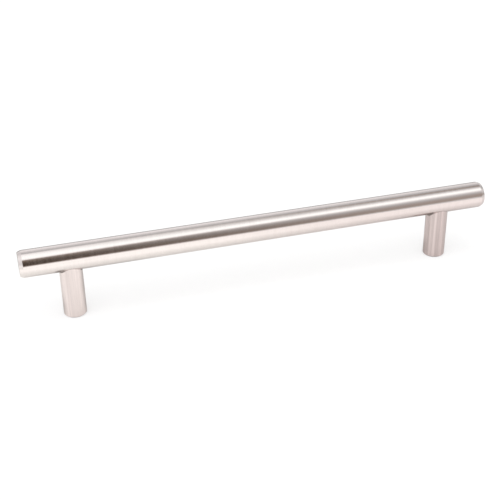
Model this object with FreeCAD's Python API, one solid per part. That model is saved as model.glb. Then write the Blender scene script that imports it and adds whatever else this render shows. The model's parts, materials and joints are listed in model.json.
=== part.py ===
import FreeCAD, Part
import math
import os

# T bar cabinet pull in millimetres: a round bar on two round posts
# Origin: centre of the face that the pull is mounted on, midway between the posts
# +X runs along the bar, +Z points away from the door or drawer front

# Overall sizes
HOLE_SPACING = 160.0
BAR_LENGTH = 200.0
BAR_DIAMETER = 11.2
POST_DIAMETER = 9.4
FINGER_CLEARANCE = 20.3

# Edges
END_BEVEL_LENGTH = 1.5
END_BEVEL_DEPTH = 0.6
END_EDGE_ROUND = 0.25
FOOT_BEVEL = 0.35

# Saddle at the top of each post
SADDLE_CLEARANCE = 0.02

# Blind tapped hole in each foot, for the screw that comes through the door
SCREW_HOLE_RADIUS = 1.65
SCREW_HOLE_DEPTH = 10.5
SCREW_HOLE_COUNTERSINK = 0.4

# Headless stud that joins a post to the bar
STUD_RADIUS = 2.2
STUD_IN_POST = 4.8
STUD_IN_BAR = 4.6
STUD_END_BEVEL = 0.5
STUD_SOCKET_ACROSS_FLATS = 2.0
STUD_SOCKET_DEPTH = 2.0
STUD_HOLE_CLEARANCE = 0.05
STUD_HOLE_SPARE_DEPTH = 0.5

# Full angle of the point that a twist drill leaves
DRILL_POINT_ANGLE = 118.0

# Sizes that follow from the driving ones
BAR_RADIUS = BAR_DIAMETER / 2
POST_RADIUS = POST_DIAMETER / 2
BAR_AXIS_HEIGHT = FINGER_CLEARANCE + BAR_RADIUS
STUD_HOLE_RADIUS = STUD_RADIUS + STUD_HOLE_CLEARANCE
POST_PLACES = {"left": -HOLE_SPACING / 2, "right": HOLE_SPACING / 2}

UP = FreeCAD.Vector(0, 0, 1)
ALONG_BAR = FreeCAD.Vector(1, 0, 0)


def turned(points, start, axis):
    """Solid turned about an axis from (distance along it, radius) points that begin and end on it."""
    side = FreeCAD.Vector(0, 1, 0)
    corners = [start + axis * along + side * radius for along, radius in points]
    outline = Part.makePolygon(corners + corners[:1])
    return Part.Face(outline).revolve(start, axis, 360)


def drilled(radius, depth, mouth, axis):
    """Tool for a blind hole with a drill point, which starts one radius outside the mouth."""
    point = radius / math.tan(math.radians(DRILL_POINT_ANGLE / 2))
    return turned([(-radius, 0), (-radius, radius), (depth, radius), (depth + point, 0)], mouth, axis)


def countersunk(radius, depth, mouth, axis):
    """Tool that breaks the edge of a hole's mouth at 45 degrees, down to the given depth."""
    return turned([(-depth, 0), (-depth, radius + 2 * depth), (depth, radius), (depth, 0)], mouth, axis)


def edges_at(solid, axis_name, places):
    """Edges that lie wholly in one of the planes across the named axis."""
    found = []
    for edge in solid.Edges:
        box = edge.BoundBox
        low = getattr(box, axis_name + "Min")
        high = getattr(box, axis_name + "Max")
        if any(abs(low - place) < 1e-4 and abs(high - place) < 1e-4 for place in places):
            found.append(edge)
    return found


def stud_joint(x):
    """Point on a post's axis where the bar's underside meets the saddle."""
    return FreeCAD.Vector(x, 0, FINGER_CLEARANCE)


def make_bar():
    """Round rod, bevelled at both ends, with a blind tapped hole over each post."""
    end = BAR_LENGTH / 2
    shoulder = end - END_BEVEL_LENGTH
    nose = BAR_RADIUS - END_BEVEL_DEPTH
    profile = [(-end, 0), (-end, nose), (-shoulder, BAR_RADIUS)]
    profile += [(shoulder, BAR_RADIUS), (end, nose), (end, 0)]
    bar = turned(profile, FreeCAD.Vector(0, 0, BAR_AXIS_HEIGHT), ALONG_BAR)
    bar = bar.makeFillet(END_EDGE_ROUND, edges_at(bar, "X", (-end, end)))
    depth = STUD_IN_BAR + STUD_HOLE_SPARE_DEPTH
    for x in POST_PLACES.values():
        bar = bar.cut(drilled(STUD_HOLE_RADIUS, depth, stud_joint(x), UP))
    return bar


def make_post(x):
    """Round post with a flat foot, coped at the top to wrap the underside of the bar."""
    foot = FreeCAD.Vector(x, 0, 0)
    blank = Part.makeCylinder(POST_RADIUS, BAR_AXIS_HEIGHT, foot, UP)
    blank = blank.makeChamfer(FOOT_BEVEL, edges_at(blank, "Z", (0,)))
    cope_start = FreeCAD.Vector(x - POST_DIAMETER, 0, BAR_AXIS_HEIGHT)
    cope = Part.makeCylinder(BAR_RADIUS + SADDLE_CLEARANCE, 2 * POST_DIAMETER, cope_start, ALONG_BAR)
    post = blank.cut(cope)
    post = post.cut(drilled(SCREW_HOLE_RADIUS, SCREW_HOLE_DEPTH, foot, UP))
    post = post.cut(countersunk(SCREW_HOLE_RADIUS, SCREW_HOLE_COUNTERSINK, foot, UP))
    depth = STUD_IN_POST + STUD_HOLE_SPARE_DEPTH
    return post.cut(drilled(STUD_HOLE_RADIUS, depth, stud_joint(x), -UP))


def make_stud(x):
    """Headless stud with bevelled ends and a hex socket in its lower end."""
    top = STUD_IN_BAR
    bottom = -STUD_IN_POST
    tip = STUD_RADIUS - STUD_END_BEVEL
    profile = [(bottom, 0), (bottom, tip), (bottom + STUD_END_BEVEL, STUD_RADIUS)]
    profile += [(top - STUD_END_BEVEL, STUD_RADIUS), (top, tip), (top, 0)]
    stud = turned(profile, stud_joint(x), UP)
    corner = STUD_SOCKET_ACROSS_FLATS / math.sqrt(3)
    centre = stud_joint(x) + UP * bottom
    corners = []
    for step in range(7):
        angle = math.radians(60 * step)
        corners.append(centre + FreeCAD.Vector(corner * math.cos(angle), corner * math.sin(angle), 0))
    socket = Part.Face(Part.makePolygon(corners)).extrude(UP * STUD_SOCKET_DEPTH)
    return stud.cut(socket)


def main():
    os.makedirs("parts", exist_ok=True)
    parts = {"bar": make_bar()}
    for side, x in POST_PLACES.items():
        parts[side + "_post"] = make_post(x)
        parts[side + "_joining_stud"] = make_stud(x)
    for name, shape in parts.items():
        shape.exportStep(os.path.join("parts", name + ".step"))
        print(name, "volume", round(shape.Volume, 2), "valid", shape.isValid())


main()
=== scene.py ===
import json
import math

import bmesh
import bpy
from mathutils import Matrix, Vector


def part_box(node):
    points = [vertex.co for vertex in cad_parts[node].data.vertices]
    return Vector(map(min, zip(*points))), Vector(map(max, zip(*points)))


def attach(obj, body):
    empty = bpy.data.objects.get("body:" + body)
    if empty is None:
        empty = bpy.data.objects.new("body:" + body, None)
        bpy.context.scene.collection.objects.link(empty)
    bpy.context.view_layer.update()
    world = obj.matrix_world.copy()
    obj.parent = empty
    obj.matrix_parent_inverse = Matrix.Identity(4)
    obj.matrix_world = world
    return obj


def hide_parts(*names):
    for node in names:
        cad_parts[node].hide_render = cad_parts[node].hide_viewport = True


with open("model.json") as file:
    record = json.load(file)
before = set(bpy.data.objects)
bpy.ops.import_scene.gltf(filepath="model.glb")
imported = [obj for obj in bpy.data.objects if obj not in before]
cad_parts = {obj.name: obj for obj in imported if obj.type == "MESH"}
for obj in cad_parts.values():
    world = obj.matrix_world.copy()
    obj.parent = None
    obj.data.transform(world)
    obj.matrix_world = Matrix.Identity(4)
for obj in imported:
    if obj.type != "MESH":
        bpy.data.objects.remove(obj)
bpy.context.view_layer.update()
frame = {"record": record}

MM = 0.001
TAU = 2 * math.pi
SIDES = ("left", "right")

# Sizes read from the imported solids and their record
BAR_LOW, BAR_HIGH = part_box("bar")
BAR_LENGTH = BAR_HIGH.x - BAR_LOW.x
BAR_RADIUS = (BAR_HIGH.y - BAR_LOW.y) / 2
BAR_UNDERSIDE = BAR_LOW.z
BAR_AXIS_HEIGHT = BAR_UNDERSIDE + BAR_RADIUS
STUD_LOW, STUD_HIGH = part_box("left_joining_stud")
STUD_RADIUS = (STUD_HIGH.x - STUD_LOW.x) / 2
SCREW_HOLE = next(m for m in frame["record"]["mounts"] if m["name"] == "left_screw_hole")
SCREW_HOLE_RADIUS = SCREW_HOLE["dims"]["r_mm"] * MM
SCREW_HOLE_WALL = SCREW_HOLE["dims"]["length_mm"] * MM

# Sizes of the small features, as in the solids
END_BEVEL_LENGTH = 1.5 * MM
END_BEVEL_DEPTH = 0.6 * MM
END_EDGE_ROUND = 0.25 * MM
FOOT_BEVEL = 0.35 * MM
SADDLE_CLEARANCE = 0.02 * MM
SCREW_HOLE_COUNTERSINK = 0.4 * MM
STUD_HOLE_CLEARANCE = 0.05 * MM
STUD_HOLE_RADIUS = STUD_RADIUS + STUD_HOLE_CLEARANCE
STUD_HOLE_SPARE_DEPTH = 0.5 * MM
STUD_END_BEVEL = 0.5 * MM
STUD_SOCKET_DEPTH = 2.0 * MM

# A drill's point is this many times its radius deep
DRILL_POINT_ANGLE = 118
DRILL_POINT = math.tan(math.radians(90 - DRILL_POINT_ANGLE / 2))

# Sizes that only the dressed pieces have. The studs' sockets are round here and hexagonal in the solids
BROKEN_EDGE = 0.06 * MM
SADDLE_EDGE = 0.02 * MM
SCREW_PITCH = 0.7 * MM
SCREW_THREAD_DEPTH = 0.32 * MM
STUD_PITCH = 0.8 * MM
STUD_THREAD_DEPTH = 0.4 * MM
STUD_SOCKET_RADIUS = 1.1 * MM

# How finely the pieces are divided: segments around them, and the longest step along them
BAR_SEGMENTS = 256
POST_SEGMENTS = 160
STUD_SEGMENTS = 64
DRILL_SEGMENTS = 48
BAR_STEP = 2.5 * MM
POST_STEP = 0.7 * MM
STEPS_PER_PITCH = 8

# A rounded corner's arc has this many steps, and takes at most this share of the shorter side beside it
ARC_STEPS = 5
ARC_SHARE = 0.45

# Points closer together than this are one point, and edges that bend more than this stay sharp
WELD_DISTANCE = 0.001 * MM
CREASE_ANGLE = math.radians(32)


# Nodes
def add_node(tree, kind, **settings):
    """New node of a tree, with its properties set by name."""
    node = tree.nodes.new(kind)
    for name, value in settings.items():
        setattr(node, name, value)
    return node


def feed(tree, socket, value):
    """Links an output to a socket, or sets the socket to a plain value."""
    if isinstance(value, bpy.types.NodeSocket):
        tree.links.new(value, socket)
    else:
        socket.default_value = value


def add_input(tree, name, kind, value):
    """Named input of a node group, with its usual value if it has one."""
    socket = tree.interface.new_socket(name, in_out="INPUT", socket_type=kind)
    if value is not None:
        socket.default_value = value


def calc(tree, operation, *values):
    """Math node's result."""
    node = add_node(tree, "ShaderNodeMath", operation=operation)
    for socket, value in zip(node.inputs, values):
        feed(tree, socket, value)
    return node.outputs[0]


def combine(tree, x, y, z):
    """Vector made of three values."""
    node = add_node(tree, "ShaderNodeCombineXYZ")
    for socket, value in zip(node.inputs, (x, y, z)):
        feed(tree, socket, value)
    return node.outputs[0]


def split(tree, vector):
    """The three values of a vector."""
    node = add_node(tree, "ShaderNodeSeparateXYZ")
    feed(tree, node.inputs[0], vector)
    return tuple(node.outputs)


# Profiles of the turned pieces
def arc_corner(before, corner, after, radius):
    """Points of the arc that rounds a profile's corner."""
    start = (before - corner).normalized()
    end = (after - corner).normalized()
    half = start.angle(end) / 2
    shorter = min((before - corner).length, (after - corner).length)
    radius = min(radius, ARC_SHARE * shorter * math.tan(half))
    reach = radius / math.tan(half)
    first = corner + start * reach
    centre = corner + (start + end).normalized() * (radius / math.sin(half))
    swing = first - centre
    full = swing.angle_signed(corner + end * reach - centre)
    points = []
    for step in range(ARC_STEPS + 1):
        turn = -full * step / ARC_STEPS
        across = Vector((-swing.y, swing.x))
        points.append(centre + swing * math.cos(turn) + across * math.sin(turn))
    return points


def rounded(corners, rounds):
    """Profile through (radius, height) corners, with each inner corner rounded by its own radius."""
    corners = [Vector(corner) for corner in corners]
    points = [corners[0]]
    for index in range(1, len(corners) - 1):
        radius = rounds[index - 1]
        if radius:
            points += arc_corner(corners[index - 1], corners[index], corners[index + 1], radius)
        else:
            points.append(corners[index])
    points.append(corners[-1])
    return points


def divided(points, longest):
    """Same profile with its long runs cut into steps no longer than the given length."""
    rows = [points[0]]
    for near, far in zip(points, points[1:]):
        steps = max(1, math.ceil((far - near).length / longest))
        rows += [near.lerp(far, step / steps) for step in range(1, steps + 1)]
    return rows


def profile_object(name, points, thread, lift, grain_start):
    """Open line of profile points. Each carries how far its row is threaded and lifted, and how far along the
    surface it lies."""
    mesh = bpy.data.meshes.new(name)
    mesh.from_pydata([(p.x, 0, p.y) for p in points], [(i, i + 1) for i in range(len(points) - 1)], [])
    run = [grain_start]
    for near, far in zip(points, points[1:]):
        run.append(run[-1] + (far - near).length)
    values = {
        "run": run,
        "thread": [thread(p) if thread else 0.0 for p in points],
        "lift": [lift(p) if lift else 0.0 for p in points],
    }
    for key, data in values.items():
        mesh.attributes.new(key, "FLOAT", "POINT").data.foreach_set("value", data)
    piece = bpy.data.objects.new(name, mesh)
    bpy.context.scene.collection.objects.link(piece)
    return piece


# Geometry nodes that turn a profile into a closed piece
TURNED_INPUTS = (
    ("Profile", "NodeSocketGeometry", None),
    ("Segments", "NodeSocketInt", POST_SEGMENTS),
    ("Thread Pitch", "NodeSocketFloat", SCREW_PITCH),
    ("Thread Depth", "NodeSocketFloat", SCREW_THREAD_DEPTH),
    ("Saddle Radius", "NodeSocketFloat", BAR_RADIUS + SADDLE_CLEARANCE),
    ("Turn", "NodeSocketVector", (0, 0, 0)),
    ("Place", "NodeSocketVector", (0, 0, 0)),
    ("Finish", "NodeSocketMaterial", None),
)


def add_shape_node(tree, kind, shape, **settings):
    """New node that changes a shape, fed with it."""
    node = add_node(tree, kind, **settings)
    feed(tree, node.inputs["Geometry"], shape)
    return node


def at_row(tree, profile, row, kind, value):
    """A value at one of the profile's points."""
    sample = add_shape_node(tree, "GeometryNodeSampleIndex", profile, data_type=kind, domain="POINT",
                            clamp=True)
    feed(tree, sample.inputs["Value"], value)
    feed(tree, sample.inputs["Index"], row)
    return sample.outputs[0]


def carried(tree, profile, row, key):
    """What one of the profile's points carries under a name."""
    read = add_node(tree, "GeometryNodeInputNamedAttribute", data_type="FLOAT")
    read.inputs["Name"].default_value = key
    return at_row(tree, profile, row, "FLOAT", read.outputs["Attribute"])


def threaded(tree, given, radius, height, around, share):
    """Radius with a V groove cut in it, whose phase climbs one pitch in each turn."""
    turns = calc(tree, "SUBTRACT", calc(tree, "DIVIDE", height, given["Thread Pitch"]), around)
    phase = calc(tree, "FRACT", turns)
    groove = calc(tree, "SUBTRACT", 1, calc(tree, "ABSOLUTE", calc(tree, "MULTIPLY_ADD", phase, 2, -1)))
    depth = calc(tree, "MULTIPLY", share, given["Thread Depth"])
    return calc(tree, "ADD", radius, calc(tree, "MULTIPLY", groove, depth))


def coped(tree, given, y, height, share):
    """Height of a row lifted towards the bar's underside."""
    reach = calc(tree, "MULTIPLY", given["Saddle Radius"], given["Saddle Radius"])
    inside = calc(tree, "SUBTRACT", reach, calc(tree, "MULTIPLY", y, y))
    drop = calc(tree, "SQRT", calc(tree, "MAXIMUM", 0, inside))
    rise = calc(tree, "SUBTRACT", given["Saddle Radius"], drop)
    return calc(tree, "MULTIPLY_ADD", share, rise, height)


def with_surface_map(tree, shape, grid_map, rows, profile):
    """Shape with its surface map: turns around it in U, metres along the profile in V."""
    u, v, _ = split(tree, grid_map)
    row = calc(tree, "ROUND", calc(tree, "MULTIPLY", v, calc(tree, "SUBTRACT", rows, 1)))
    mapped = add_shape_node(tree, "GeometryNodeStoreNamedAttribute", shape, data_type="FLOAT2",
                            domain="CORNER")
    mapped.inputs["Name"].default_value = "surface"
    feed(tree, mapped.inputs["Value"], combine(tree, u, carried(tree, profile, row, "run"), 0))
    return mapped.outputs[0]


def finished_piece(tree, given, shape):
    """Shape with its seam and poles welded, shaded, put in its place and given its material."""
    welded = add_shape_node(tree, "GeometryNodeMergeByDistance", shape)
    welded.inputs["Distance"].default_value = WELD_DISTANCE
    smooth = add_shape_node(tree, "GeometryNodeSetShadeSmooth", welded.outputs[0], domain="EDGE")
    bend = add_node(tree, "GeometryNodeInputMeshEdgeAngle").outputs["Unsigned Angle"]
    feed(tree, smooth.inputs["Shade Smooth"], calc(tree, "LESS_THAN", bend, CREASE_ANGLE))
    moved = add_shape_node(tree, "GeometryNodeTransform", smooth.outputs[0])
    feed(tree, moved.inputs["Rotation"], given["Turn"])
    feed(tree, moved.inputs["Translation"], given["Place"])
    whole = add_shape_node(tree, "GeometryNodeRealizeInstances", moved.outputs[0])
    finish = add_shape_node(tree, "GeometryNodeSetMaterial", whole.outputs[0])
    feed(tree, finish.inputs["Material"], given["Finish"])
    return finish.outputs[0]


def turned_tree():
    """Tree that revolves a profile line, cuts a helical thread and copes the top to a round bar."""
    tree = bpy.data.node_groups.new("turned_piece", "GeometryNodeTree")
    for name, kind, value in TURNED_INPUTS:
        add_input(tree, name, kind, value)
    tree.interface.new_socket("Piece", in_out="OUTPUT", socket_type="NodeSocketGeometry")
    given = add_node(tree, "NodeGroupInput").outputs
    profile = given["Profile"]

    size = add_shape_node(tree, "GeometryNodeAttributeDomainSize", profile, component="MESH")
    rows = size.outputs["Point Count"]
    grid = add_node(tree, "GeometryNodeMeshGrid")
    feed(tree, grid.inputs["Vertices X"], calc(tree, "ADD", given["Segments"], 1))
    feed(tree, grid.inputs["Vertices Y"], rows)

    # The grid's points are numbered along one column of rows after another
    index = add_node(tree, "GeometryNodeInputIndex").outputs[0]
    column = calc(tree, "FLOOR", calc(tree, "DIVIDE", calc(tree, "ADD", index, 0.5), rows))
    row = calc(tree, "SUBTRACT", index, calc(tree, "MULTIPLY", column, rows))
    around = calc(tree, "DIVIDE", column, given["Segments"])
    angle = calc(tree, "MULTIPLY", around, TAU)

    position = add_node(tree, "GeometryNodeInputPosition").outputs[0]
    radius, _, height = split(tree, at_row(tree, profile, row, "FLOAT_VECTOR", position))
    radius = threaded(tree, given, radius, height, around, carried(tree, profile, row, "thread"))
    x = calc(tree, "MULTIPLY", radius, calc(tree, "COSINE", angle))
    y = calc(tree, "MULTIPLY", radius, calc(tree, "SINE", angle))
    height = coped(tree, given, y, height, carried(tree, profile, row, "lift"))
    shaped = add_shape_node(tree, "GeometryNodeSetPosition", grid.outputs["Mesh"])
    feed(tree, shaped.inputs["Position"], combine(tree, x, y, height))

    mapped = with_surface_map(tree, shaped.outputs[0], grid.outputs["UV Map"], rows, profile)
    feed(tree, add_node(tree, "NodeGroupOutput").inputs[0], finished_piece(tree, given, mapped))
    return tree


def as_plain_mesh(piece):
    """Replaces a piece's modifiers by their result, with every face turned outward."""
    bpy.context.view_layer.update()
    mesh = bpy.data.meshes.new_from_object(piece.evaluated_get(bpy.context.evaluated_depsgraph_get()))
    piece.modifiers.clear()
    piece.data = mesh
    shape = bmesh.new()
    shape.from_mesh(mesh)
    bmesh.ops.recalc_face_normals(shape, faces=shape.faces)
    shape.to_mesh(mesh)
    shape.free()
    return piece


def turned(name, points, tree, finish, thread=None, lift=None, grain_start=0.0, **sizes):
    """Piece turned from a profile by the tree, as a plain mesh with its place in its vertices."""
    piece = profile_object(name, points, thread, lift, grain_start)
    modifier = piece.modifiers.new("turned", "NODES")
    modifier.node_group = tree
    sockets = {item.name: item.identifier for item in tree.interface.items_tree if item.in_out == "INPUT"}
    modifier[sockets["Finish"]] = finish
    for key, value in sizes.items():
        modifier[sockets[key.replace("_", " ").title()]] = value
    return as_plain_mesh(piece)


# Pieces
def post_x(side):
    """Place of a post's axis along the bar."""
    low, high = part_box(side + "_post")
    return (low.x + high.x) / 2


def post_radius(side):
    """Radius of a post."""
    low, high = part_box(side + "_post")
    return (high.y - low.y) / 2


def stud_hole_tool(side, tree, finish):
    """Shape of the blind hole that is drilled up into the bar over a post."""
    bottom = BAR_UNDERSIDE - STUD_HOLE_RADIUS
    top = STUD_HIGH.z + STUD_HOLE_SPARE_DEPTH
    corners = [(0, bottom), (STUD_HOLE_RADIUS, bottom), (STUD_HOLE_RADIUS, top)]
    corners.append((0, top + STUD_HOLE_RADIUS * DRILL_POINT))
    points = [Vector(corner) for corner in corners]
    return turned(side + "_drill", points, tree, finish, segments=DRILL_SEGMENTS, place=(post_x(side), 0, 0))


def make_bar(tree, finish):
    """Round rod with bevelled ends and a blind hole over each post."""
    half = BAR_LENGTH / 2
    nose = BAR_RADIUS - END_BEVEL_DEPTH
    shoulder = half - END_BEVEL_LENGTH
    corners = [(0, -half), (nose, -half), (BAR_RADIUS, -shoulder)]
    corners += [(BAR_RADIUS, shoulder), (nose, half), (0, half)]
    profile = rounded(corners, (END_EDGE_ROUND, BROKEN_EDGE, BROKEN_EDGE, END_EDGE_ROUND))
    bar = turned("bar_rod", divided(profile, BAR_STEP), tree, finish, segments=BAR_SEGMENTS,
                 turn=(0, math.pi / 2, 0), place=(0, 0, BAR_AXIS_HEIGHT))
    drills = [stud_hole_tool(side, tree, finish) for side in SIDES]
    for drill in drills:
        cut = bar.modifiers.new("stud_hole", "BOOLEAN")
        cut.operation = "DIFFERENCE"
        cut.solver = "EXACT"
        cut.object = drill
    as_plain_mesh(bar)
    for drill in drills:
        bpy.data.objects.remove(drill)
    return bar


# Where each post's streak pattern starts, the one of many tried that shows most as in the photograph, and how
# much lighter the post's tone is. The streaks are partly brushing and partly painted reflection, the vertical
# bands that a post mirrors
POST_GRAIN_AND_REFLECTION_START = {"left": 219.66, "right": 213.12}
# Painted light: the left post's tone is painted lighter than the right's, for the brighter light that it
# mirrors
POST_PAINTED_LIGHT = {"left": 0.25, "right": 0.07}


def make_post(side, tree, finish):
    """Round post: flat foot, tapped screw hole from below, coped top and a stud hole from above."""
    radius = post_radius(side)
    hole = SCREW_HOLE_RADIUS
    wall_start = SCREW_HOLE_COUNTERSINK
    wall_end = wall_start + SCREW_HOLE_WALL
    mouth = hole + SCREW_HOLE_COUNTERSINK
    floor = STUD_LOW.z - STUD_HOLE_SPARE_DEPTH
    top = BAR_UNDERSIDE - SADDLE_CLEARANCE
    tapped = [Vector((0, wall_end + hole * DRILL_POINT)), Vector((hole, wall_end))]
    tapped.append(Vector((hole, wall_start)))
    outside = [(hole, wall_start), (mouth, 0), (radius - FOOT_BEVEL, 0), (radius, FOOT_BEVEL)]
    outside += [(radius, top), (STUD_HOLE_RADIUS, top), (STUD_HOLE_RADIUS, floor)]
    outside.append((0, floor - STUD_HOLE_RADIUS * DRILL_POINT))
    outside = rounded(outside, (BROKEN_EDGE, BROKEN_EDGE, BROKEN_EDGE, SADDLE_EDGE, BROKEN_EDGE, 0))
    points = divided(tapped, SCREW_PITCH / STEPS_PER_PITCH) + divided(outside, POST_STEP)[1:]

    def thread(point):
        """1 on the wall of the screw hole, and fading out over its last pitch."""
        on_wall = abs(point.x - hole) < WELD_DISTANCE and point.y > wall_start - WELD_DISTANCE
        taper = min(1, (wall_end - point.y) / SCREW_PITCH)
        return max(0, taper) if on_wall else 0.0

    def lift(point):
        """0 below the floor of the stud hole and 1 at the saddle."""
        return min(1, max(0, (point.y - floor) / (top - floor)))

    post = turned(side + "_post_body", points, tree, finish, thread, lift, POST_GRAIN_AND_REFLECTION_START[side],
                  segments=POST_SEGMENTS, place=(post_x(side), 0, 0))
    # Each post's painted light goes to its finish as a point attribute
    painted_light = post.data.attributes.new("painted_light", "FLOAT", "POINT")
    painted_light.data.foreach_set("value", [POST_PAINTED_LIGHT[side]] * len(post.data.vertices))
    return post


def make_stud(side, tree, finish):
    """Headless stud, threaded from end to end, with a socket in its lower end."""
    bottom, top = STUD_LOW.z, STUD_HIGH.z
    tip = STUD_RADIUS - STUD_END_BEVEL
    corners = [(0, bottom + STUD_SOCKET_DEPTH), (STUD_SOCKET_RADIUS, bottom + STUD_SOCKET_DEPTH)]
    corners += [(STUD_SOCKET_RADIUS, bottom), (tip, bottom), (STUD_RADIUS, bottom + STUD_END_BEVEL)]
    corners += [(STUD_RADIUS, top - STUD_END_BEVEL), (tip, top), (0, top)]
    points = divided([Vector(corner) for corner in corners], STUD_PITCH / STEPS_PER_PITCH)

    def thread(point):
        """-1 on the side of the stud, which cuts inward, and fading out towards its ends."""
        reach = min(point.y - bottom, top - point.y) / STUD_END_BEVEL
        return -min(1, max(0, reach - 1)) if point.x > tip else 0.0

    return turned(side + "_threaded_stud", points, tree, finish, thread, segments=STUD_SEGMENTS,
                  thread_pitch=STUD_PITCH, thread_depth=STUD_THREAD_DEPTH, place=(post_x(side), 0, 0))


# Patterns that the finishes share
def shader_group(name, inputs, outputs):
    """Empty shader node group with named inputs and outputs, and the sockets of its two end nodes."""
    group = bpy.data.node_groups.new(name, "ShaderNodeTree")
    for key, kind, value in inputs:
        add_input(group, key, kind, value)
    for key in outputs:
        group.interface.new_socket(key, in_out="OUTPUT", socket_type="NodeSocketFloat")
    return group, add_node(group, "NodeGroupInput").outputs, add_node(group, "NodeGroupOutput").inputs


def noise(tree, vector, detail=2.0):
    """Noise texture's value at a vector that is already in noise cells."""
    node = add_node(tree, "ShaderNodeTexNoise")
    feed(tree, node.inputs["Vector"], vector)
    node.inputs["Scale"].default_value = 1.0
    node.inputs["Detail"].default_value = detail
    return node.outputs["Fac"]


def spread(tree, value, low, high):
    """Value stretched so that low becomes 0 and high becomes 1, clamped."""
    node = add_node(tree, "ShaderNodeMapRange", clamp=True)
    feed(tree, node.inputs["Value"], value)
    node.inputs["From Min"].default_value = low
    node.inputs["From Max"].default_value = high
    return node.outputs[0]


def smooth_step(tree, value, start, end):
    """0 at start and 1 at end, with a soft rise between."""
    node = add_node(tree, "ShaderNodeMapRange", interpolation_type="SMOOTHSTEP", clamp=True)
    feed(tree, node.inputs["Value"], value)
    feed(tree, node.inputs["From Min"], start)
    feed(tree, node.inputs["From Max"], end)
    return node.outputs[0]


def distance(tree, *parts):
    """Length of a vector given by its parts."""
    total = 0.0
    for part in parts:
        total = calc(tree, "MULTIPLY_ADD", part, part, total)
    return calc(tree, "SQRT", total)


def scaled(tree, vector, factor):
    """Vector times a number."""
    node = add_node(tree, "ShaderNodeVectorMath", operation="SCALE")
    feed(tree, node.inputs[0], vector)
    node.inputs["Scale"].default_value = factor
    return node.outputs[0]


def from_nearest_post(tree, x, post_place):
    """How far a place lies to the right of the axis of the post nearest to it."""
    return calc(tree, "SUBTRACT", x, calc(tree, "MULTIPLY", calc(tree, "SIGN", x), post_place))


def by_post(tree, right_post, pair):
    """First value of a pair at the left post, and second at the right post, where right_post is 1."""
    return calc(tree, "MULTIPLY_ADD", right_post, pair[1] - pair[0], pair[0])


# Most of a noise's values lie between these
NOISE_RANGE = (0.3, 0.7)
FINE_LINES_RANGE = (0.32, 0.68)

# Layers of brushing, as multiples of the finest lines' width and breaks. The shifts keep them from lining up
FINEST_LINES = {"width": 1.0, "breaks": 1.0, "shift": 0.0, "detail": 1.0}
CROSSING_LINES = {"width": 2.3, "breaks": 2.7, "shift": 31.0, "detail": 1.0}
BROAD_LINES = {"width": 8.0, "breaks": 0.5, "shift": 57.0, "detail": 2.0}


def surface_grain_group():
    """Brushing on a turned piece: fine and broad lines around it, and faint streaks along it."""
    inputs = (
        ("Surface", "NodeSocketVector", None),
        ("Line Width", "NodeSocketFloat", 0.2 * MM),
        ("Line Breaks", "NodeSocketFloat", 1.6),
        ("Streak Count", "NodeSocketFloat", 14.0),
        ("Streak Length", "NodeSocketFloat", 60 * MM),
    )
    group, given, result = shader_group("brushed_grain", inputs, ("Fine Lines", "Broad Lines", "Streaks"))
    turns, along, _ = split(group, given["Surface"])
    angle = calc(group, "MULTIPLY", turns, TAU)
    cosine = calc(group, "COSINE", angle)
    sine = calc(group, "SINE", angle)

    def layer(steps, breaks, detail):
        """Noise that goes through these steps along the piece and breaks this often around it."""
        across = calc(group, "MULTIPLY", cosine, breaks)
        return noise(group, combine(group, steps, across, calc(group, "MULTIPLY", sine, breaks)), detail)

    def lines(width, breaks, shift, detail):
        """Layer of brushing lines."""
        steps = calc(group, "DIVIDE", along, calc(group, "MULTIPLY", given["Line Width"], width))
        breaks = calc(group, "MULTIPLY", given["Line Breaks"], breaks)
        return layer(calc(group, "ADD", steps, shift), breaks, detail)

    both = calc(group, "ADD", lines(**FINEST_LINES), lines(**CROSSING_LINES))
    fine = calc(group, "MULTIPLY", both, 0.5)
    streak_steps = calc(group, "DIVIDE", along, given["Streak Length"])
    streaks = layer(streak_steps, calc(group, "DIVIDE", given["Streak Count"], TAU), 1.0)
    feed(group, result["Fine Lines"], spread(group, fine, *FINE_LINES_RANGE))
    feed(group, result["Broad Lines"], spread(group, lines(**BROAD_LINES), *NOISE_RANGE))
    feed(group, result["Streaks"], spread(group, streaks, *NOISE_RANGE))
    return group


# Painted contact shadow in the corner between post and bar: its width, how many times over a distance down
# the post and one along the bar count in it, where its soft edge starts and is full, in widths, and the size
# and share of its clumps
PAINTED_SHADE_WIDTH = 0.45 * MM
PAINTED_SHADE_DOWN = 1.25
PAINTED_SHADE_OUT = 0.45
PAINTED_SHADE_EDGE = (1.0, 0.3)
PAINTED_SHADE_CLUMP = 0.6 * MM
PAINTED_SHADE_CLUMPING = 0.5

# Places across a post, from -1 at its left edge to 1 at its right, where the painted shadow in the corner
# starts and is full. On the left flank FLANK_DOWN is added to the count down the post, by the post's share.
# Here and below, a value with LEFT_RIGHT in its name is a pair for the left and the right post
CORNER_START_LEFT_RIGHT = (-0.36, -0.6)
CORNER_FULL_LEFT_RIGHT = (-0.84, -0.94)
RIGHT_CORNER = (0.65, 0.9)
FLANK = (-0.7, -0.95)
FLANK_SHARE_LEFT_RIGHT = (0.35, 0.85)
FLANK_DOWN = -0.95

# The part of it that spreads along the bar: within a skin of the bar, low on it (0 at the axis, 1 at the
# underside), close to the post, and in a trail further to the left
BAR_SKIN = 0.1 * MM
LOW_START_LEFT_RIGHT = (0.37, 0.42)
LOW_FULL_LEFT_RIGHT = (0.59, 0.68)
CLOSE_START_LEFT_RIGHT = (-1.6, -2.2)
CLOSE_FULL = -1.0
CLOSE_SHARE = 0.9
TRAIL = (-3.2, -1.9)
TRAIL_SHARE_LEFT_RIGHT = (0.0, 0.35)

# Heights around the foot where its painted contact shadow starts and is full, and that shadow's share
FOOT_SHADE_START = 0.5 * MM
FOOT_SHADE_FULL = 0.2 * MM
FOOT_SHADE_SHARE = 0.42


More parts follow.
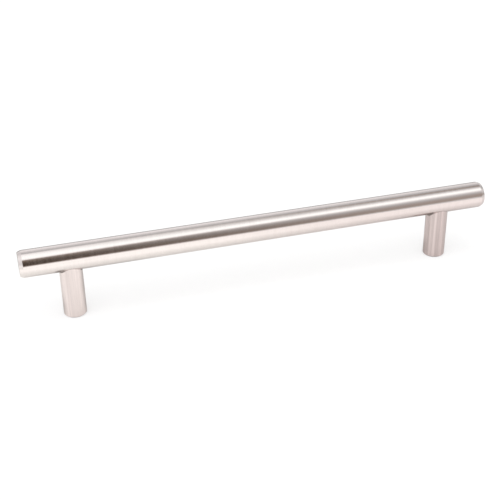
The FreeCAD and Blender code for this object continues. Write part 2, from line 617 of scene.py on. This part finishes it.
def joint_painted_shade_group():
    """Painted contact shadow where each post meets the underside of the bar, and around the edge of its foot.
    """
    inputs = (
        ("Position", "NodeSocketVector", None),
        ("Bar Height", "NodeSocketFloat", BAR_AXIS_HEIGHT),
        ("Bar Radius", "NodeSocketFloat", BAR_RADIUS),
        ("Post Place", "NodeSocketFloat", post_x("right")),
        ("Post Radius", "NodeSocketFloat", post_radius("right")),
        ("Width", "NodeSocketFloat", PAINTED_SHADE_WIDTH),
        ("Foot Edge", "NodeSocketFloat", FOOT_SHADE_START),
    )
    group, given, result = shader_group("joint_painted_shade", inputs, ("Painted Shade",))
    x, y, z = split(group, given["Position"])
    above_axis = calc(group, "SUBTRACT", z, given["Bar Height"])
    from_bar = calc(group, "SUBTRACT", distance(group, y, above_axis), given["Bar Radius"])
    from_axis = from_nearest_post(group, x, given["Post Place"])
    from_post = calc(group, "SUBTRACT", distance(group, from_axis, y), given["Post Radius"])
    side = calc(group, "DIVIDE", from_axis, given["Post Radius"])
    right_post = calc(group, "GREATER_THAN", x, 0)

    # It reaches further along the bar than down the post, but far down the post's left flank
    flank = calc(group, "MULTIPLY", smooth_step(group, side, *FLANK),
                 by_post(group, right_post, FLANK_SHARE_LEFT_RIGHT))
    down = calc(group, "MULTIPLY", from_bar, calc(group, "MULTIPLY_ADD", flank, FLANK_DOWN, PAINTED_SHADE_DOWN))
    out = calc(group, "MULTIPLY", from_post, PAINTED_SHADE_OUT)
    reach = calc(group, "DIVIDE", distance(group, down, out), given["Width"])
    clumps = noise(group, scaled(group, given["Position"], 1 / PAINTED_SHADE_CLUMP))
    uneven = calc(group, "MULTIPLY_ADD", clumps, PAINTED_SHADE_CLUMPING, -PAINTED_SHADE_CLUMPING / 2)
    near = smooth_step(group, calc(group, "ADD", reach, uneven), *PAINTED_SHADE_EDGE)

    # The painted shadow is strongest on the left of each post, a little on its right and none in front
    left = smooth_step(group, side, by_post(group, right_post, CORNER_START_LEFT_RIGHT),
                       by_post(group, right_post, CORNER_FULL_LEFT_RIGHT))
    right = smooth_step(group, side, *RIGHT_CORNER)
    corner = calc(group, "MULTIPLY", near, calc(group, "MAXIMUM", left, right))

    # It spreads to the left along the bar's underside, furthest at the right post
    depth = calc(group, "DIVIDE", calc(group, "MULTIPLY", above_axis, -1), given["Bar Radius"])
    low = smooth_step(group, depth, by_post(group, right_post, LOW_START_LEFT_RIGHT),
                      by_post(group, right_post, LOW_FULL_LEFT_RIGHT))
    under = calc(group, "MULTIPLY", low, calc(group, "LESS_THAN", from_bar, BAR_SKIN))
    close_start = by_post(group, right_post, CLOSE_START_LEFT_RIGHT)
    close = calc(group, "MULTIPLY", smooth_step(group, side, close_start, CLOSE_FULL), CLOSE_SHARE)
    trail_share = by_post(group, right_post, TRAIL_SHARE_LEFT_RIGHT)
    trail = calc(group, "MULTIPLY", smooth_step(group, side, *TRAIL), trail_share)
    along_bar = calc(group, "ADD", close, trail)
    spreading = calc(group, "MULTIPLY", along_bar, calc(group, "MULTIPLY", under, left))

    below = calc(group, "LESS_THAN", above_axis, 0)
    joint = calc(group, "MULTIPLY", calc(group, "MAXIMUM", corner, spreading), below)
    # Painted contact shadow around the foot's edge
    by_floor = smooth_step(group, z, given["Foot Edge"], FOOT_SHADE_FULL)
    foot = calc(group, "MULTIPLY", by_floor, FOOT_SHADE_SHARE)
    feed(group, result["Painted Shade"], calc(group, "MAXIMUM", joint, foot))
    return group


# Finishes
# Colour and cover of the painted contact shadow at the joints and feet, and the roughness it adds
PAINTED_SHADE_COLOUR = (0.15, 0.125, 0.11, 1)
PAINTED_SHADE_COVER = 0.83
PAINTED_SHADE_ROUGHNESS = 0.2
CLOUD_SIZE = 9 * MM
LINE_RELIEF = 0.004 * MM

# How far the brushing's highlight is turned from the map's tangent, which runs around a piece, in full turns
BRUSHING_TURN = 0.25

# The Mix node's colour sockets, which share their names with its other kinds
FIRST_COLOUR, SECOND_COLOUR, MIXED_COLOUR = 6, 7, 2

# Light and dark are the metal's two tones. The weights say how far fine lines, broad lines, streaks and
# clouds turn it from dark to light
BAR_FINISH = {
    "light": (0.94, 0.853, 0.828, 1), "dark": (0.83, 0.745, 0.72, 1), "roughness": 0.14, "unevenness": 0.05,
    "anisotropy": 0.8, "streak_count": 16, "relief": 0.2, "weights": (0.3, 0.3, 0.2, 0.2),
}
# On the posts, the streaks are partly brushing and partly painted reflection: their heavy weight and deep
# dark tone paint the vertical bands that a post mirrors
POST_FINISH = {
    "light": (0.895, 0.78, 0.758, 1), "dark": (0.585, 0.5, 0.484, 1), "roughness": 0.24, "unevenness": 0.01,
    "anisotropy": 0.9, "streak_count": 22, "relief": 0.01, "weights": (0.02, 0.02, 0.66, 0.08),
}
STUD_FINISH = {
    "light": (0.6, 0.59, 0.58, 1), "dark": (0.45, 0.44, 0.43, 1), "roughness": 0.35, "unevenness": 0.06,
    "anisotropy": 0.3, "streak_count": 10, "relief": 0.3, "weights": (0.3, 0.3, 0.2, 0.2),
}


def mix_colour(tree, factor, first, second):
    """Colour between two others."""
    node = add_node(tree, "ShaderNodeMix", data_type="RGBA")
    feed(tree, node.inputs["Factor"], factor)
    feed(tree, node.inputs[FIRST_COLOUR], first)
    feed(tree, node.inputs[SECOND_COLOUR], second)
    return node.outputs[MIXED_COLOUR]


def satin_metal(name, grain, painted_shade, light, dark, roughness, unevenness, anisotropy, streak_count, relief,
                weights):
    """Satin metal brushed around the piece."""
    material = bpy.data.materials.new(name)
    material.use_nodes = True
    tree = material.node_tree
    shader = tree.nodes["Principled BSDF"]
    shader.inputs["Metallic"].default_value = 1.0
    shader.inputs["Anisotropic"].default_value = anisotropy
    shader.inputs["Anisotropic Rotation"].default_value = BRUSHING_TURN
    tangent = add_node(tree, "ShaderNodeTangent", direction_type="UV_MAP", uv_map="surface")
    feed(tree, shader.inputs["Tangent"], tangent.outputs[0])
    lines = add_node(tree, "ShaderNodeGroup", node_tree=grain)
    feed(tree, lines.inputs["Surface"], add_node(tree, "ShaderNodeUVMap", uv_map="surface").outputs[0])
    lines.inputs["Streak Count"].default_value = streak_count
    place = add_node(tree, "ShaderNodeTexCoord").outputs["Object"]
    cloud = spread(tree, noise(tree, scaled(tree, place, 1 / CLOUD_SIZE)), *NOISE_RANGE)

    tone = 0.0
    shades = (lines.outputs["Fine Lines"], lines.outputs["Broad Lines"], lines.outputs["Streaks"], cloud)
    for shade, weight in zip(shades, weights):
        tone = calc(tree, "MULTIPLY_ADD", shade, weight, tone)
    # A post's painted light raises its tone; the other pieces have none
    painted_light = add_node(tree, "ShaderNodeAttribute", attribute_name="painted_light").outputs["Fac"]
    metal = mix_colour(tree, calc(tree, "ADD", tone, painted_light), dark, light)
    # Painted contact shadow at the joints and feet darkens the metal's colour and adds roughness
    corner = add_node(tree, "ShaderNodeGroup", node_tree=painted_shade)
    feed(tree, corner.inputs["Position"], place)
    painted_shade_share = calc(tree, "MULTIPLY", corner.outputs["Painted Shade"], PAINTED_SHADE_COVER)
    feed(tree, shader.inputs["Base Color"], mix_colour(tree, painted_shade_share, metal, PAINTED_SHADE_COLOUR))

    rough = calc(tree, "MULTIPLY_ADD", lines.outputs["Broad Lines"], unevenness, roughness - unevenness)
    rough = calc(tree, "MULTIPLY_ADD", lines.outputs["Fine Lines"], unevenness, rough)
    feed(tree, shader.inputs["Roughness"], calc(tree, "MULTIPLY_ADD", painted_shade_share, PAINTED_SHADE_ROUGHNESS, rough))

    bump = add_node(tree, "ShaderNodeBump")
    bump.inputs["Strength"].default_value = relief
    bump.inputs["Distance"].default_value = LINE_RELIEF
    feed(tree, bump.inputs["Height"], lines.outputs["Fine Lines"])
    feed(tree, shader.inputs["Normal"], bump.outputs[0])
    return material


# Floor: a sheet just below the feet, whose glow brings it to white for the camera
FLOOR_SIZE = 6.0
FLOOR_GAP = 0.05 * MM
FLOOR_COLOUR = (0.5, 0.5, 0.5, 1)
FLOOR_FILL = 0.58

# Colours of the floor that the metal mirrors, and its glow: in front of the pull, and where seen at a slant.
# Painted light makes the mirrored floor lighter on the left than on the right, and it is painted darker far
# behind and far to the right
MIRRORED_FLOOR_LEFT = (0.9, 0.925, 0.905, 1)
MIRRORED_FLOOR_RIGHT = (0.771, 0.744, 0.734, 1)
MIRRORED_FLOOR_AWAY = (0.45, 0.45, 0.45, 1)
MIRRORED_FLOOR_GLEAM = 0.09
MIRRORED_FLOOR_SHEEN = 0.17
SHEEN_SLANT = (0.0, 0.45)

# Zones of the mirrored floor, each from where it starts to where it is full
RIGHTWARD = (-60 * MM, 110 * MM)
FRONTWARD = (6 * MM, -50 * MM)
BACKWARD = (40 * MM, 260 * MM)
FAR_RIGHT = (150 * MM, 260 * MM)
CLOSE_TO_POST = (45 * MM, 20 * MM)
BEHIND_PULL = (10 * MM, 28 * MM)
AROUND_FOOT = (21 * MM, 11 * MM)
BACK_OF_FOOT = (-6 * MM, 4 * MM)
PAST_RIGHT_END = (115 * MM, 128 * MM)
PAST_LEFT_END = (-140 * MM, -170 * MM)

# How the edges of two zones slant across the bar, and how far the zones are darkened: painted shadow behind
# the pull and by each foot, and painted darker floor past the bar's ends
POST_SLANT = 0.8
RIGHT_END_SLANT = 0.4
FOOT_SHADOW_SHARE = 0.8
PAINTED_SHADOW_DEPTH = 0.35
RIGHT_END_DIMMING = 0.5
LEFT_END_DIMMING = 0.45


def ray_kinds(tree):
    """Light path outputs: camera rays, and rays that mirror or pass through something."""
    path = add_node(tree, "ShaderNodeLightPath").outputs
    through = calc(tree, "MAXIMUM", path["Is Glossy Ray"], path["Is Transmission Ray"])
    return path["Is Camera Ray"], through


def mirrored_floor(tree, x, y):
    """Colour of the floor as the metal mirrors it, and its painted shadow near the pull. Shadow is painted
    behind the pull, behind each foot and to the right of each post, and the floor is painted darker past the
    bar's right end and well past its left end."""
    beside = from_nearest_post(tree, x, post_x("right"))
    close_by = smooth_step(tree, calc(tree, "ABSOLUTE", beside), *CLOSE_TO_POST)
    slanted = calc(tree, "MULTIPLY_ADD", calc(tree, "MULTIPLY", beside, close_by), POST_SLANT, y)
    behind = smooth_step(tree, slanted, *BEHIND_PULL)
    by_foot = calc(tree, "MULTIPLY", smooth_step(tree, distance(tree, beside, y), *AROUND_FOOT),
                   smooth_step(tree, y, *BACK_OF_FOOT))
    painted_shadow = calc(tree, "MAXIMUM", behind, calc(tree, "MULTIPLY", by_foot, FOOT_SHADOW_SHARE))

    right_end = smooth_step(tree, calc(tree, "MULTIPLY_ADD", y, RIGHT_END_SLANT, x), *PAST_RIGHT_END)
    left_end = smooth_step(tree, x, *PAST_LEFT_END)
    painted_dimming = calc(tree, "MULTIPLY", painted_shadow, PAINTED_SHADOW_DEPTH)
    painted_dimming = calc(tree, "MAXIMUM", painted_dimming, calc(tree, "MULTIPLY", right_end, RIGHT_END_DIMMING))
    painted_dimming = calc(tree, "MAXIMUM", painted_dimming, calc(tree, "MULTIPLY", left_end, LEFT_END_DIMMING))
    away = calc(tree, "MAXIMUM", smooth_step(tree, y, *BACKWARD), smooth_step(tree, x, *FAR_RIGHT))
    colour = mix_colour(tree, smooth_step(tree, x, *RIGHTWARD), MIRRORED_FLOOR_LEFT, MIRRORED_FLOOR_RIGHT)
    colour = mix_colour(tree, painted_dimming, colour, MIRRORED_FLOOR_AWAY)
    return mix_colour(tree, away, colour, MIRRORED_FLOOR_AWAY), painted_shadow


def floor_paper():
    """Pale paper that shows white to the camera and gleams in the metal."""
    material = bpy.data.materials.new("floor_paper")
    material.use_nodes = True
    tree = material.node_tree
    tree.nodes.clear()
    x, y, _ = split(tree, add_node(tree, "ShaderNodeTexCoord").outputs["Object"])
    camera, through = ray_kinds(tree)
    mirrored, painted_shadow = mirrored_floor(tree, x, y)
    paper = add_node(tree, "ShaderNodeBsdfDiffuse")
    feed(tree, paper.inputs["Color"], mix_colour(tree, through, FLOOR_COLOUR, mirrored))

    slant = add_node(tree, "ShaderNodeLayerWeight").outputs["Facing"]
    sheen = calc(tree, "MULTIPLY", smooth_step(tree, slant, *SHEEN_SLANT), MIRRORED_FLOOR_SHEEN)
    # Painted shadow on the floor also takes away its sheen
    sheen = calc(tree, "MULTIPLY", sheen, calc(tree, "SUBTRACT", 1, painted_shadow))
    gleam = calc(tree, "MULTIPLY_ADD", smooth_step(tree, y, *FRONTWARD), MIRRORED_FLOOR_GLEAM, sheen)
    glow = add_node(tree, "ShaderNodeEmission")
    shown = calc(tree, "MULTIPLY", through, gleam)
    feed(tree, glow.inputs["Strength"], calc(tree, "MULTIPLY_ADD", camera, FLOOR_FILL, shown))

    both = add_node(tree, "ShaderNodeAddShader")
    feed(tree, both.inputs[0], paper.outputs[0])
    feed(tree, both.inputs[1], glow.outputs[0])
    feed(tree, add_node(tree, "ShaderNodeOutputMaterial").inputs["Surface"], both.outputs[0])
    return material


def make_floor():
    """Floor that keeps the pull's soft shadow."""
    mesh = bpy.data.meshes.new("floor")
    half = FLOOR_SIZE / 2
    corners = [(-half, -half, 0), (half, -half, 0), (half, half, 0), (-half, half, 0)]
    mesh.from_pydata(corners, [], [(0, 1, 2, 3)])
    mesh.materials.append(floor_paper())
    floor = bpy.data.objects.new("floor", mesh)
    bpy.context.scene.collection.objects.link(floor)
    floor.location.z = -FLOOR_GAP


# Light around the metal, as (degrees, level) stops that go up from the front horizon, over the top and down
# behind. The first is what the bar mirrors near its left end, and the second near its right end. The others
# come from the far left and the far right, and show on the posts' flanks and the bar's ends. The levels were
# adjusted until the bands on the metal looked as in the photograph
LIGHT_BY_LEFT_END = (
    (0, 1.0), (6, 0.22), (12, 0.03), (28, 0.038), (43, 0.08), (54, 0.2), (62, 1.08), (72, 1.26), (92, 1.22),
    (106, 1.04), (116, 0.54), (124, 0.58), (148, 0.89), (158, 0.94), (165, 0.9), (171, 0.5), (180, 0.5),
)
LIGHT_BY_RIGHT_END = (
    (0, 0.68), (6, 0.38), (18, 0.33), (32, 0.42), (45, 0.57), (54, 0.85), (64, 1.24), (72, 1.32), (82, 0.98),
    (92, 0.62), (102, 0.35), (110, 0.3), (119, 0.44), (140, 0.74), (158, 0.86), (165, 0.85), (171, 0.5),
    (180, 0.5),
)
LIGHT_FROM_LEFT = (
    (0, 1.08), (20, 0.84), (36, 0.8), (60, 0.9), (82, 0.98), (102, 0.92), (121, 0.8), (140, 0.66), (152, 0.7),
    (166, 0.5), (180, 0.6),
)
LIGHT_FROM_RIGHT = (
    (0, 0.44), (14, 0.4), (26, 0.42), (50, 0.62), (68, 0.68), (93, 0.76), (114, 0.5), (137, 0.52),
    (156, 0.66), (170, 0.8), (180, 0.84),
)

# Where the last three take over, by how far a direction points to the right
BY_RIGHT_END = (0.03, 0.4)
FROM_RIGHT = (0.5, 0.72)
FROM_LEFT = (-0.12, -0.5)

# Dim light is warm. The warmth fades as the level rises, faster past the top, and bright light is a little
# cool
DIM_TINT = (1.44, 1.0, 0.68)
EVEN_TINT = (0.985, 1.0, 1.01)
BRIGHT_TINT = (0.945, 1.0, 1.0)
TOP_DEGREES = 80
FADE_IN_FRONT = 2.0
FADE_PAST_TOP = 2.3
BRIGHT_FROM = 0.9
BRIGHT_RISE = 3.0

# Light on the floor
AMBIENT = (0.55, 0.55, 0.55, 1)
LAMP_STRENGTH = 1.5
LAMP_SPREAD = math.radians(70)
LAMP_TURN = (math.radians(18), math.radians(-14), 0)


def light_ramp(tree, angle, stops):
    """Light level by angle, tinted by how dim or bright it is."""
    ramp = add_node(tree, "ShaderNodeValToRGB")
    feed(tree, ramp.inputs["Fac"], calc(tree, "DIVIDE", angle, 180))
    elements = ramp.color_ramp.elements
    while len(elements) < len(stops):
        elements.new(1.0)
    for element, (degrees, level) in zip(elements, stops):
        element.position = degrees / 180
        lit = min(1, level * (FADE_PAST_TOP if degrees > TOP_DEGREES else FADE_IN_FRONT))
        bright = min(1, max(0, BRIGHT_RISE * (level - BRIGHT_FROM)))
        tint = Vector(DIM_TINT).lerp(Vector(EVEN_TINT), lit).lerp(Vector(BRIGHT_TINT), bright)
        element.color = (*(level * tint), 1)
    return ramp.outputs["Color"]


def make_world():
    """White surround for the camera, and for the metal a studio with a soft panel overhead, a pale wall
    behind, a lit wall on the left and an unlit room in front."""
    world = bpy.data.worlds.new("studio")
    bpy.context.scene.world = world
    world.use_nodes = True
    tree = world.node_tree
    tree.nodes.clear()
    x, y, z = split(tree, add_node(tree, "ShaderNodeTexCoord").outputs["Generated"])
    angle = calc(tree, "DEGREES", calc(tree, "ARCTAN2", z, calc(tree, "MULTIPLY", y, -1)))
    light = light_ramp(tree, angle, LIGHT_BY_LEFT_END)
    changes = (
        (spread(tree, x, *BY_RIGHT_END), LIGHT_BY_RIGHT_END),
        (smooth_step(tree, x, *FROM_RIGHT), LIGHT_FROM_RIGHT),
        (smooth_step(tree, x, *FROM_LEFT), LIGHT_FROM_LEFT),
    )
    for share, stops in changes:
        light = mix_colour(tree, share, light, light_ramp(tree, angle, stops))

    camera, through = ray_kinds(tree)
    light = mix_colour(tree, through, AMBIENT, light)
    light = mix_colour(tree, camera, light, (1, 1, 1, 1))
    glow = add_node(tree, "ShaderNodeBackground")
    feed(tree, glow.inputs["Color"], light)
    feed(tree, add_node(tree, "ShaderNodeOutputWorld").inputs["Surface"], glow.outputs[0])


def make_lamp():
    """Large soft lamp overhead, which gives the floor its soft shadow and isn't mirrored in the metal."""
    lamp = bpy.data.lights.new("overhead", "SUN")
    lamp.energy = LAMP_STRENGTH
    lamp.angle = LAMP_SPREAD
    holder = bpy.data.objects.new("overhead", lamp)
    holder.rotation_euler = LAMP_TURN
    holder.visible_glossy = False
    bpy.context.scene.collection.objects.link(holder)


# Camera, as the photograph was taken
CAMERA_AZIMUTH = math.radians(-16.321)
CAMERA_ELEVATION = math.radians(29.641)
CAMERA_ROLL = math.radians(-0.785)
CAMERA_DISTANCE = 426.47 * MM
CAMERA_TARGET = Vector((-5.332 * MM, 0, BAR_AXIS_HEIGHT - 9.963 * MM))
CAMERA_FOCAL_PIXELS = 1017.38
PICTURE_WIDTH_PIXELS = 500
SENSOR_WIDTH = 36


def make_camera():
    """Camera that looks back at its target, rolled about its own axis."""
    camera = bpy.data.cameras.new("camera")
    camera.sensor_width = SENSOR_WIDTH
    camera.lens = CAMERA_FOCAL_PIXELS / PICTURE_WIDTH_PIXELS * SENSOR_WIDTH
    camera.clip_start = 10 * MM
    camera.clip_end = 20
    holder = bpy.data.objects.new("camera", camera)
    bpy.context.scene.collection.objects.link(holder)
    level = math.cos(CAMERA_ELEVATION)
    back = Vector((math.sin(CAMERA_AZIMUTH) * level, -math.cos(CAMERA_AZIMUTH) * level,
                   math.sin(CAMERA_ELEVATION)))
    holder.location = CAMERA_TARGET + back * CAMERA_DISTANCE
    aim = back.to_track_quat("Z", "Y").to_matrix()
    holder.rotation_euler = (aim @ Matrix.Rotation(CAMERA_ROLL, 3, "Z")).to_euler()
    bpy.context.scene.camera = holder


def main():
    """Makes the five pieces, each in place of its solid, and the studio around them."""
    bpy.context.scene.view_settings.view_transform = "Standard"
    tree = turned_tree()
    grain = surface_grain_group()
    painted_shade = joint_painted_shade_group()
    bar_finish = satin_metal("satin_bar_finish", grain, painted_shade, **BAR_FINISH)
    post_finish = satin_metal("satin_post_finish", grain, painted_shade, **POST_FINISH)
    stud_finish = satin_metal("stud_steel", grain, painted_shade, **STUD_FINISH)

    pieces = [(make_bar(tree, bar_finish), "bar", "satin_bar")]
    for side in SIDES:
        pieces.append((make_post(side, tree, post_finish), side + "_post", "satin_post"))
        pieces.append((make_stud(side, tree, stud_finish), side + "_joining_stud", "plain_stud"))
    for piece, node, slot in pieces:
        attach(piece, "root")
        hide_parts(node)

    make_floor()
    make_world()
    make_lamp()
    make_camera()


main()
